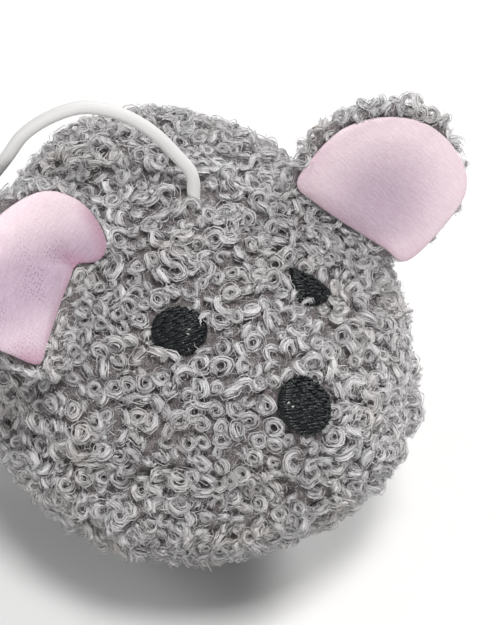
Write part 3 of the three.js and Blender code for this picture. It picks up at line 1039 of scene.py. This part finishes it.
def make_wadding():
    """Loose filling in tufts, which gives way to the cord's knot."""
    bm = ball_grid(SKIN_CUTS)
    low, high = (Vector(corner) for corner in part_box("anchor_knot"))
    knot, clear = (low + high) / 2, (high - low).length / 2
    for vert in bm.verts:
        unit = vert.co.copy()
        tuft = WADDING_TUFT * noise.noise(unit * WADDING_FINENESS)
        place = body_point(unit, WADDING_DEPTH + tuft)
        aside = place - knot
        vert.co = place if aside.length > clear else knot + Vector((aside.x, aside.y, -clear))
    draw_in_seam(bm)
    wadding = object_from("wadding", bm, wadding_material())
    finish_piece(wadding, "mouse", ["filling"])


def part_of(bm, keep):
    """A copy of the mesh with only the faces whose middles are wanted."""
    part = bm.copy()
    wrong = [face for face in part.faces if not keep(face.calc_center_median())]
    bmesh.ops.delete(part, geom=wrong, context="FACES")
    return part


def mesh_with_pile(name, bm, there):
    """A plain mesh whose points say how much pile grows there."""
    mesh = mesh_from(name, bm)
    marks = mesh.attributes.new("pile", "FLOAT", "POINT")
    for mark, vert in zip(marks.data, mesh.vertices):
        mark.value = there(vert.co)
    return mesh


def raised(bm, height, clump):
    """A copy of the mesh moved out along its normals, more and less from clump to clump."""
    copy = bm.copy()
    bmesh.ops.recalc_face_normals(copy, faces=copy.faces)
    for vert in copy.verts:
        vert.co += vert.normal * (height + clump * noise.noise(vert.co / CLUMP_SIZE))
    return copy


def in_sector(sector, upper):
    """Whether a point belongs to one of the sectors that a panel's pile is made in."""
    def inside(point):
        turn = math.atan2(point.y - MOUSE_PLACE.y, point.x - MOUSE_PLACE.x) / math.tau % 1
        return int(turn * PILE_SECTORS) == sector and (point.z > SEAM_HEIGHT) == upper
    return inside


def make_body(pile, yarn, ground):
    """The two panels' ground cloth, and their pile in sectors."""
    skin = ground_skin()
    for panel, is_upper in (("upper", True), ("belly", False)):
        half = part_of(skin, lambda point: (point.z > SEAM_HEIGHT) == is_upper)
        cloth = object_from(panel + "_ground", half, ground)
        thick = cloth.modifiers.new("thickness", "SOLIDIFY")
        thick.thickness = GROUND_THICKNESS
        finish_piece(cloth, "mouse", [panel + "_panel"])
    roots = raised(skin, PILE_RAISE, CLUMP_HEIGHT)
    for number in range(2 * PILE_SECTORS):
        sector, is_upper = number // 2, number % 2 == 1
        panel = "upper" if is_upper else "belly"
        name = f"{panel}_pile_{sector + 1}"
        mesh = mesh_with_pile(name, part_of(roots, in_sector(sector, is_upper)), pile_there)
        piece = grow(name, mesh, pile, PILE_SETTINGS | {"Seed": SECTOR_SEEDS * number, "Material": yarn})
        finish_piece(piece, "mouse", [panel + "_panel"])
    skin.free()
    roots.free()


# Ears


def ear_matrix(name):
    """The ear's own frame: X across, Y to its back and Z along it from the sewn base."""
    side = 1 if name == "left" else -1
    splay, twist, tip = (math.radians(angle) for angle in EAR_LEAN[name])
    lean = Matrix.Rotation(side * splay, 4, "Y") @ Matrix.Rotation(-side * twist, 4, "Z")
    matrix = lean @ Matrix.Rotation(tip, 4, "X")
    matrix.translation = body_point(direction(side * EAR_TURN, EAR_LIFT))
    return matrix


def even_ring(points, count):
    """Evenly spaced points on a smooth closed line through the given ones."""
    looped = smooth_route([points[-1]] + points + points[:2], OUTLINE_STEPS)[OUTLINE_STEPS:-OUTLINE_STEPS]
    lengths = [0.0]
    for here, there in zip(looped, looped[1:]):
        lengths.append(lengths[-1] + (there - here).length)
    ring = []
    i = 0
    for step in range(count):
        wanted = lengths[-1] * step / count
        while lengths[i + 1] < wanted:
            i += 1
        share = (wanted - lengths[i]) / (lengths[i + 1] - lengths[i])
        ring.append(looped[i].lerp(looped[i + 1], share))
    return ring


def lining_outline(name):
    return even_ring([Vector(point) * MM for point in LINING_OUTLINES[name]], EAR_SIDES)


def back_outline(name):
    """The back cloth's outline: an oval whose lower end stops just inside the body."""
    matrix = ear_matrix(name)
    middle = Vector((BACK_SHIFT[name], EAR_CENTRE_HEIGHT))
    wide, long = EAR_WIDTH / 2 - BACK_INSET, EAR_LENGTH / 2 - BACK_INSET
    ring = []
    for step in range(EAR_SIDES):
        angle = math.tau * step / EAR_SIDES
        reach = Vector((wide * math.cos(angle), long * math.sin(angle)))
        low, high = 0.0, 1.0
        for _ in range(ROOT_HALVINGS):
            share = (low + high) / 2
            x, z = middle + reach * share
            if body_depth(matrix @ Vector((x, ear_cup(x), z))) > EAR_ROOT:
                high = share
            else:
                low = share
        ring.append(middle + reach * low)
    return ring


def ear_cup(x):
    """How far the cupped ear's sides come forward."""
    across = x / (EAR_WIDTH / 2)
    return -EAR_CUP * across * across


def pad_mesh(outline, middle, place):
    """A closed pad whose front and back meet along its outline.

    place(x, z, share, side) gives a point, where share is 0 in the middle and 1 at the edge,
    and side is -1 on the front and 1 on the back.
    """
    bm = bmesh.new()
    edge = bm.verts.layers.float.new("edge")

    def point(flat, share, side):
        vert = bm.verts.new(place(flat.x, flat.y, share, side))
        vert[edge] = share
        return vert

    rim = [point(flat, 1, 0) for flat in outline]
    for side in (-1, 1):
        rings = []
        for ring in range(1, EAR_RINGS):
            share = math.sin(math.pi / 2 * ring / EAR_RINGS)
            rings.append([point(middle.lerp(flat, share), share, side) for flat in outline])
        rings.append(rim)
        hub = point(middle, 0, side)
        for i in range(len(outline)):
            bm.faces.new((hub, rings[0][i - 1], rings[0][i]))
            for inner, outer in zip(rings, rings[1:]):
                bm.faces.new((inner[i - 1], outer[i - 1], outer[i], inner[i]))
    bmesh.ops.recalc_face_normals(bm, faces=bm.faces)
    return bm


def bulge(share):
    """Fullness of a pad from its middle to its edge."""
    return math.sqrt(1 - share ** 4)


def tuck(name, x, z):
    """How deep the tuck in the right ear's lining is at a point."""
    if name == "left":
        return 0.0
    run = TUCK_END - TUCK_START
    here = Vector((x, z)) - TUCK_START
    along = here.dot(run) / run.length_squared
    aside = (here - run * along).length / TUCK_WIDTH
    return TUCK_DEPTH * max(0, min(1, 1 - along)) * math.exp(-aside * aside / 2)


def left_shade(x, z):
    """How much painted shade the left lining gets: most in its hollow."""
    away = math.hypot((x - HOLLOW_MIDDLE.x) / HOLLOW_SPREAD.x, (z - HOLLOW_MIDDLE.y) / HOLLOW_SPREAD.y)
    return HOLLOW_SHADE * math.exp(-away ** 3 / HOLLOW_FALL)


def right_shade(x, z):
    """How much painted shade the right lining gets: most in a slanting band."""
    loss = RIGHT_BAND_LOSS * step_between(x + z, *RIGHT_BAND_END)
    return step_between(x + z, *RIGHT_BAND_TOP) * (1 - loss)


def mark_lining(name, bm):
    """Marks the painted shade over a lining, the redder painted shade along its folds, and how open the
    knit is.
    """
    marks = [bm.verts.layers.float.new(key) for key in ("shade", "fold", "open")]
    edge = bm.verts.layers.float["edge"]
    low = LINING_MIDDLES[name][1] * MM
    for vert in bm.verts:
        x, _, z = vert.co
        # Share of the rolled lower edge, which gets a redder painted shade.
        rolled = step_between(vert[edge], *FOLD_EDGE) * step_between(z, low, low / 2)
        if name == "left":
            values = left_shade(x, z), LEFT_FOLD_SHADE * rolled, LEFT_OPEN
        else:
            shade = right_shade(x, z)
            # The right lining's tuck gets the same painted shade.
            fold = max(rolled, tuck(name, x, z) / TUCK_DEPTH)
            values = shade, fold, RIGHT_OPEN + RIGHT_OPEN_MORE * shade
        for mark, value in zip(marks, values):
            vert[mark] = value


def lining_pad(name):
    middle = Vector(LINING_MIDDLES[name]) * MM

    def place(x, z, share, side):
        front = LINING_EDGE
        if side > 0:
            front = LINING_BACK
        elif side < 0:
            front += LINING_SWELL * bulge(share) - LINING_DISH * (1 - share * share) - tuck(name, x, z)
        return Vector((x, ear_cup(x) - front, z))

    bm = pad_mesh(lining_outline(name), middle, place)
    mark_lining(name, bm)
    front = [vert for vert in bm.verts if vert.co.y < ear_cup(vert.co.x) - LINING_EDGE - LINING_FRONT]
    swell(bm, set(bm.verts) - set(front), LINING_PRESSURE, LINING_GIVE)
    knit = bm.loops.layers.uv.new("knit")
    for face in bm.faces:
        for loop in face.loops:
            loop[knit].uv = loop.vert.co.xz
    return bm


def back_pad(name):
    def place(x, z, share, side):
        full = BACK_SWELL if side > 0 else BACK_MIDDLE - LINING_BACK
        return Vector((x, ear_cup(x) + BACK_MIDDLE + side * full * bulge(share), z))

    return pad_mesh(back_outline(name), Vector((BACK_SHIFT[name], EAR_CENTRE_HEIGHT)), place)


def under_lining(name, flat):
    """Whether a point of the ear, across and along it, lies under its lining or close to its edge."""
    middle = Vector(LINING_MIDDLES[name]) * MM
    outline = [middle + (point - middle) * LINING_MARGIN for point in lining_outline(name)]
    inside = False
    for here, there in zip(outline, outline[1:] + outline[:1]):
        if (here.y > flat.y) != (there.y > flat.y):
            crossing = here.x + (flat.y - here.y) / (there.y - here.y) * (there.x - here.x)
            inside ^= crossing > flat.x
    return inside


def make_ear(name, pile, yarn, ground, jersey):
    """One ear: its back cloth, the pile on that cloth, and its lining."""
    body = "ear_" + name
    matrix = ear_matrix(name)
    inverse = matrix.inverted()

    def in_front(point):
        local = inverse @ point
        return local.y < ear_cup(local.x) + BACK_MIDDLE - BACK_FRONT

    def there(point):
        return 0.0 if in_front(point) and under_lining(name, (inverse @ point).xz) else 1.0

    back = back_pad(name)
    back.transform(matrix)
    roots = raised(back, EAR_PILE_RAISE, 0)
    for vert in roots.verts:
        if in_front(vert.co):
            vert.co += matrix.col[1].xyz * EAR_FRONT_SINK
    roots = mesh_with_pile(body + "_pile", roots, there)
    settings = PILE_SETTINGS | EAR_PILE_SETTINGS | {"Seed": EAR_SEED + len(name), "Material": yarn}
    curls = grow(body + "_pile", roots, pile, settings)
    finish_piece(object_from(body + "_cloth", back, ground), body, [body + "_back"])
    finish_piece(curls, body, [body + "_back"])
    lining = lining_pad(name)
    lining.transform(matrix)
    pad = finish_piece(object_from(body + "_jersey", lining, jersey), body, [body + "_lining"])


# Embroidery


def oval_chord(width, height, slant, offset):
    """Where a slanting line, moved sideways by the offset, enters and leaves an oval."""
    along = Vector((math.cos(slant), math.sin(slant)))
    across = Vector((-along.y, along.x))
    a, b = width / 2, height / 2
    p = (along.x / a) ** 2 + (along.y / b) ** 2
    q = offset * (across.x * along.x / a ** 2 + across.y * along.y / b ** 2)
    r = offset * offset * ((across.x / a) ** 2 + (across.y / b) ** 2) - 1
    root = q * q - p * r
    if root <= 0:
        return None
    return along, across, (-q - math.sqrt(root)) / p, (-q + math.sqrt(root)) / p


def dome_height(name, flat, width, height):
    """The height of a pad's surface, which falls away to its edge and under the pile at its sides."""
    share = (2 * flat.x / width) ** 2 + (2 * flat.y / height) ** 2
    beside = abs(clear_place(name, flat)[1]) - PAD_SLIT.get(name, width)
    return -PAD_SINK - PAD_DOME * share - SLIT_SLOPE * max(0, beside)


def stitch_lines(name, width, height, matrix):
    """The stitches' middle lines: rows of short arched threads, with each row broken in other places."""
    draw = random.Random(name)
    slant = math.radians(STITCH_SLANTS[name])
    rows = int(max(width, height) / 2 / STITCH_PITCH)
    lines = []
    for row in range(-rows, rows + 1):
        chord = oval_chord(width, height, slant, row * STITCH_PITCH)
        if not chord:
            continue
        along, across, place, stop = chord
        while place < stop:
            end = min(stop, place + draw.uniform(*STITCH_LENGTHS))
            shift = row * STITCH_PITCH + draw.uniform(-STITCH_SHIFT, STITCH_SHIFT)
            lean = draw.uniform(-STITCH_LEAN, STITCH_LEAN)
            line = []
            for step in range(STITCH_STEPS + 1):
                t = step / STITCH_STEPS
                flat = along * (place + (end - place) * t) + across * (shift + lean * (t - 0.5))
                arch = STITCH_ARCH * math.sin(math.pi * t)
                line.append(matrix @ Vector((*flat, dome_height(name, flat, width, height) + arch)))
            lines.append(line)
            place = end
    return lines


def stitch_tree():
    """Threads along lines, thinner where they go into the cloth."""
    tree, make, sizes = new_tree("satin_stitches", {"Radius": "Float"})
    lines = make.add("GeometryNodeMeshToCurve", {}, {"Mesh": sizes.output("Geometry")})
    thread = yarn_tube(make, lines, sizes.output("Radius"), STITCH_SIDES, pointed(make, STITCH_POINT))
    end_tree(make, closed_points(make, thread), sizes.output("Material"))
    return tree


def embroidery_bed(name, width, height, matrix):
    """The closed pad of thread under the top stitches."""
    bm = bmesh.new()
    bmesh.ops.create_uvsphere(bm, u_segments=BED_SIDES, v_segments=BED_RINGS, radius=1)
    for vert in bm.verts:
        flat = Vector((vert.co.x * width / 2, vert.co.y * height / 2))
        full = dome_height(name, flat, width, height)
        vert.co = matrix @ Vector((*flat, full - BED_DEPTH * max(0, -vert.co.z)))
    return bm


def make_embroidery():
    thread = thread_material()
    tree = stitch_tree()
    for name, (width, height, matrix) in PADS.items():
        bed = object_from(name + "_bed", embroidery_bed(name, width, height, matrix), thread)
        finish_piece(bed, "mouse", [name + "_stitching"])
        lines = lines_mesh(name + "_threads", stitch_lines(name, width, height, matrix))
        threads = grow(name + "_threads", lines, tree, {"Radius": STITCH_RADIUS, "Material": thread})
        finish_piece(threads, "mouse", [name + "_stitching"])


# Cord


def coil_point(turns):
    """A point of the coil, which winds inwards, climbs to its second layer and winds outwards."""
    from_inner = abs(turns - LOOPS_PER_LAYER)
    climb = step_between((turns - LOOPS_PER_LAYER) / CLIMB_TURNS, -0.5, 0.5)
    radius = COIL_RADIUS - LOOP_PITCH * (LOOPS_PER_LAYER - from_inner)
    angle = math.tau * turns
    x, y = radius * math.cos(angle), radius * math.sin(angle)
    return COIL_CENTRE + Vector((x, y, COIL_HEIGHT + LOOP_PITCH * climb))


def cord_path():
    """The whole cord: out of the crown, round the coil and along to the rod's tip."""
    arc = [Vector(point) * MM for point in ARC_ROUTE]
    lead = [Vector(point) * MM for point in LEAD_ROUTE]
    loops = [coil_point(i / STEPS_PER_LOOP) for i in range(2 * LOOPS_PER_LAYER * STEPS_PER_LOOP + 1)]
    root = arc[0] - Vector((0, 0, CORD_ROOT))
    return smooth_route([root] + arc + loops + lead, CORD_STEPS)


def cord_tree():
    """A round cord along a path, which keeps its length and turn for the braid."""
    tree, make, sizes = new_tree("round_cord", {"Radius": "Float"})
    line = make.add("GeometryNodeMeshToCurve", {}, {"Mesh": sizes.output("Geometry")})
    circle = round_profile(make, CORD_SIDES, sizes.output("Radius"))
    profile = marked(make, circle, "turn", make.add("GeometryNodeSplineParameter"))
    end_tree(make, tube_along(make, line, profile), sizes.output("Material"))
    return tree


def make_cord():
    path = cord_path()
    elastic = elastic_material()
    settings = {"Radius": CORD_DIAMETER / 2, "Material": elastic}
    cord = grow("cord", lines_mesh("cord", [path]), cord_tree(), settings)
    finish_piece(cord, "wand", ["cord_arc", "cord_coil", "cord_lead"])
    length = sum((b - a).length for a, b in zip(path, path[1:]))
    tuple(path[0])
    [tuple(point) for point in path]
    dress(["anchor_knot", "tip_knot"], elastic)


def make_rod():
    dress(["rod"], wood_material())
    dress(["tip_cap", "butt_cap", "coil_tie"], plastic_material())


# Camera, light and floor


def make_camera():
    data = bpy.data.cameras.new("camera")
    data.lens = LENS
    data.sensor_width = 36
    data.clip_start = 0.01
    data.clip_end = 20
    camera = add_object("camera", data)
    back = direction(CAMERA_TURN, CAMERA_LIFT)
    camera.location = CAMERA_AIM + back * CAMERA_DISTANCE
    camera.rotation_euler = (-back).to_track_quat("-Z", "Y").to_euler()
    bpy.context.scene.camera = camera


def area_light(name, place, size, power, colour):
    data = bpy.data.lights.new(name, "AREA")
    data.size = size
    data.energy = power
    data.color = colour
    light = add_object(name, data)
    light.location = place
    light.rotation_euler = (Vector(place) - LAMP_AIM).to_track_quat("Z", "Y").to_euler()


def seen_directly(make):
    """1 for rays that show the stage itself, and 0 for those that only light the object."""
    path = make.add("ShaderNodeLightPath")
    mirrored = path.output("Is Glossy Ray") + path.output("Is Transmission Ray")
    return make.add("ShaderNodeClamp", {}, {"Value": path.output("Is Camera Ray") + mirrored})


def floor_material():
    """Pale paper that takes the mouse's shadow and goes over into plain white further off."""
    make = new_material("floor")
    seen = seen_directly(make)
    shade = make.mix(seen, (0.4, 0.4, 0.4, 1), (0.98, 0.98, 0.98, 1))
    paper = make.add("ShaderNodeBsdfDiffuse", {}, {"Color": shade})
    white = make.add("ShaderNodeEmission", {}, {"Color": WHITE, "Strength": 1.0})
    away = make.vector("DISTANCE", make.place(), MOUSE_PLACE).output("Value")
    far = make.range(away, *FLOOR_FADE) * seen
    shown = make.add("ShaderNodeMixShader", {}, {0: far, 1: paper, 2: white})
    return make.shown(shown)


def make_world():
    """Faint even light, seen as white."""
    world = bpy.data.worlds.new("studio")
    bpy.context.scene.world = world
    world.use_nodes = True
    world.node_tree.nodes.clear()
    make = Maker(world.node_tree)
    soft = make.add("ShaderNodeBackground", {}, {"Color": (0.97, 0.98, 1, 1), "Strength": 0.1})
    white = make.add("ShaderNodeBackground", {}, {"Color": WHITE, "Strength": 1.0})
    shown = make.add("ShaderNodeMixShader", {}, {0: seen_directly(make), 1: soft, 2: white})
    make.add("ShaderNodeOutputWorld", {}, {"Surface": shown})


def make_stage():
    bm = bmesh.new()
    bmesh.ops.create_grid(bm, x_segments=1, y_segments=1, size=FLOOR_SIZE)
    object_from("floor", bm, floor_material())
    make_world()
    for name, lamp in LAMPS.items():
        area_light(name, *lamp)
    bpy.context.scene.view_settings.view_transform = "Standard"


make_camera()
make_stage()
make_cord()
make_rod()
looped_pile = pile_tree()
curly_yarn = yarn_material()
pile_ground = backing_material()
pink_jersey = jersey_material()
make_wadding()
make_body(looped_pile, curly_yarn, pile_ground)
for ear_name in EAR_LEAN:
    make_ear(ear_name, looped_pile, curly_yarn, pile_ground, pink_jersey)
make_embroidery()
